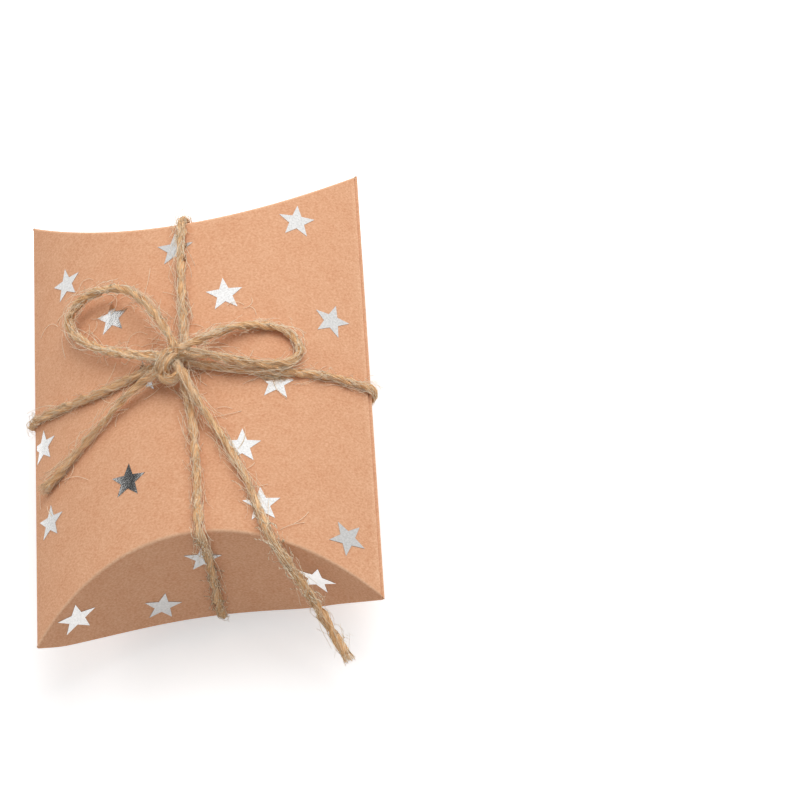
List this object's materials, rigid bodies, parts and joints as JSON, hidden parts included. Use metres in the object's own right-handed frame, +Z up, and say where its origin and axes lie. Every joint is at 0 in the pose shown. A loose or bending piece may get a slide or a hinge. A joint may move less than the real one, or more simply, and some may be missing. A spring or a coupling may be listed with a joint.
{
  "type": "favor box",
  "caption": "Kraft card pillow box for a small gift, with curved end flaps that fold in, foil stars, and jute twine tied both ways round it in a bow.",
  "frame": {"origin": "under the middle of the box, on the surface that the twine's crossing rests on", "axes": "+X across the box towards the glued side seam, +Y along the box from the front end to the rear end, +Z up through the bow"},
  "size_m": [0.0692, 0.0974, 0.0345],
  "materials": {
    "kraft_card": "uncoated brown kraft card with a fine mottled fibre",
    "silver_foil": "hot-pressed silver foil, bright",
    "jute_twine": "loosely twisted natural jute with stray fibres",
    "glue": "dried glue film, hidden in the seam"
  },
  "bodies": {
    "box": {"top_panel": "kraft_card", "bottom_panel": "kraft_card", "glue_tab": "kraft_card", "glue_line": "glue", "top_panel_stars": "silver_foil", "bottom_panel_stars": "silver_foil", "bow_knot": "jute_twine", "front_top_strand": "jute_twine", "rear_top_strand": "jute_twine", "bottom_strand": "jute_twine", "crosswise_strand": "jute_twine", "left_bow_loop": "jute_twine", "right_bow_loop": "jute_twine", "left_tail": "jute_twine", "right_tail": "jute_twine"},
    "front_flap": {"front_outer_flap": "kraft_card", "front_flap_stars": "silver_foil", "front_end_strand": "jute_twine", "right_tail_end": "jute_twine"},
    "rear_flap": {"rear_outer_flap": "kraft_card", "rear_flap_stars": "silver_foil", "rear_end_strand": "jute_twine"},
    "front_dust_flap": {"front_inner_flap": "kraft_card"},
    "rear_dust_flap": {"rear_inner_flap": "kraft_card"}
  },
  "joints": [
    {"name": "front_flap_hinge", "type": "hinge", "parent": "box", "child": "front_flap", "pos_m": [0, -0.0325, 0.0292], "axis": [-1, 0, 0], "range_deg": [0, 77.5], "deforming": ["front_end_strand", "right_tail_end"]},
    {"name": "rear_flap_hinge", "type": "hinge", "parent": "box", "child": "rear_flap", "pos_m": [0, 0.0325, 0.0292], "axis": [1, 0, 0], "range_deg": [0, 77.5], "deforming": ["rear_end_strand"]},
    {"name": "front_dust_flap_hinge", "type": "hinge", "parent": "box", "child": "front_dust_flap", "pos_m": [0, -0.03205, 0.0048], "axis": [-1, 0, 0], "range_deg": [0, 75]},
    {"name": "rear_dust_flap_hinge", "type": "hinge", "parent": "box", "child": "rear_dust_flap", "pos_m": [0, 0.03205, 0.0048], "axis": [1, 0, 0], "range_deg": [0, 75]}
  ]
}
